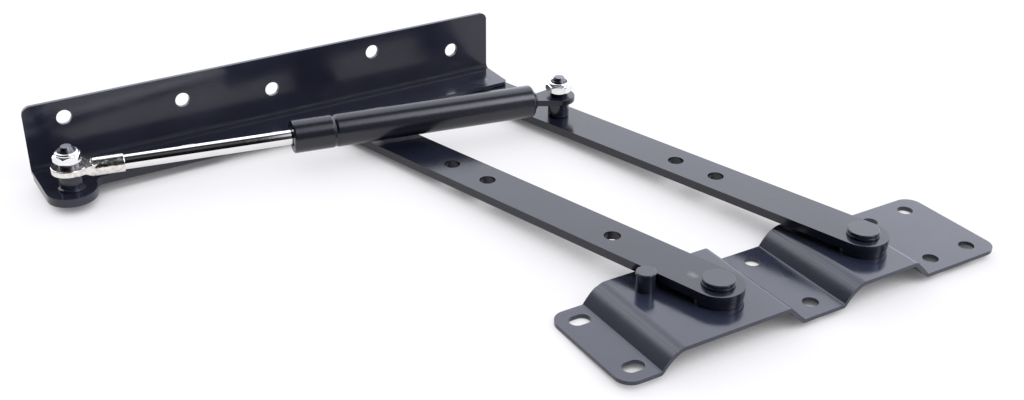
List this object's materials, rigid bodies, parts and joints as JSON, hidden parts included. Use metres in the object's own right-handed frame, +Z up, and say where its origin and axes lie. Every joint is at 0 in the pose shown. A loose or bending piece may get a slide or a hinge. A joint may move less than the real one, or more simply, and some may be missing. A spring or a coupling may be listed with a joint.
{
  "type": "table lift mechanism",
  "caption": "Gas-spring lift mechanism for a table top: pressed base plate, two parallel flat arms, an angle bracket with a rounded tongue, and a gas spring that holds it open.",
  "frame": {"origin": "centre of the two valley screw holes, on the underside of the base plate", "axes": "+X along the base plate and the bracket, towards the four-hole foot; +Y from the base plate to the bracket; +Z up from the base plate's underside, along the pivots"},
  "size_m": [0.4024, 0.2914, 0.056],
  "materials": {
    "navy_paint": "glossy dark paint",
    "tube_paint": "satin black paint",
    "chrome_rod": "polished chrome plate",
    "bright_zinc": "bright zinc plate",
    "dark_steel": "dark plated thread",
    "black_plastic": "moulded black plastic",
    "black_fitting": "black plated steel",
    "nylon": "nylon",
    "seal_rubber": "nitrile rubber",
    "turned_steel": "turned steel"
  },
  "bodies": {
    "base": {"base_plate": "navy_paint", "front_base_rivet": "navy_paint", "rear_base_rivet": "navy_paint", "front_base_spacer": "black_plastic", "rear_base_spacer": "black_plastic", "front_base_washer": "navy_paint", "rear_base_washer": "navy_paint", "stop_pin": "navy_paint"},
    "rear_arm": {"rear_arm": "navy_paint", "arm_stud_foot": "navy_paint"},
    "front_arm": {"front_arm": "navy_paint"},
    "bracket": {"top_bracket": "navy_paint", "front_top_rivet": "navy_paint", "rear_top_rivet": "navy_paint", "front_top_washer": "black_plastic", "rear_top_washer": "black_plastic", "bracket_stud": "dark_steel", "bracket_stud_spacer": "navy_paint", "bracket_stud_nut": "bright_zinc", "bracket_nut_insert": "nylon"},
    "gas_rod": {"rod_eyelet": "chrome_rod", "rod_eye_bush": "seal_rubber", "piston_rod": "chrome_rod", "piston": "turned_steel", "piston_ring": "nylon"},
    "gas_tube": {"gas_tube": "tube_paint", "rod_guide": "turned_steel", "rod_seal": "seal_rubber", "end_plug": "turned_steel", "tube_eyelet": "black_fitting", "tube_eye_bush": "seal_rubber", "arm_stud": "dark_steel", "arm_stud_spacer": "navy_paint", "arm_stud_nut": "bright_zinc", "arm_nut_insert": "nylon"}
  },
  "joints": [
    {"name": "fold", "type": "hinge", "parent": "base", "child": "rear_arm", "pos_m": [0.0445, -0.0063, 0.01625], "axis": [0, 0, -1], "range_deg": [0, 80]},
    {"name": "front_arm_swing", "type": "hinge", "parent": "base", "child": "front_arm", "pos_m": [-0.0445, -0.0063, 0.01625], "axis": [0, 0, -1], "range_deg": [0, 80]},
    {"name": "bracket_swing", "type": "hinge", "parent": "rear_arm", "child": "bracket", "pos_m": [-0.02689, 0.24267, 0.01875], "axis": [0, 0, 1], "range_deg": [0, 80]},
    {"name": "gas_spring_swing", "type": "hinge", "parent": "bracket", "child": "gas_rod", "pos_m": [-0.27299, 0.22887, 0.0308], "axis": [0, 0, 1], "range_deg": [0, 5.87]},
    {"name": "gas_spring_stroke", "type": "slide", "parent": "gas_rod", "child": "gas_tube", "axis": [-0.985, 0.1724, 0.0049], "range_m": [0, 0.0767], "stiffness_N_per_m": 400, "springref_m": -0.3}
  ],
  "couplings": [
    {"joint": "front_arm_swing", "follows": "fold", "ratio": 1},
    {"joint": "bracket_swing", "follows": "fold", "ratio": 1},
    {"joint": "gas_spring_swing", "follows": "fold", "ratio": 0.073301},
    {"joint": "gas_spring_stroke", "follows": "fold", "m_per_rad": 0.054927}
  ]
}
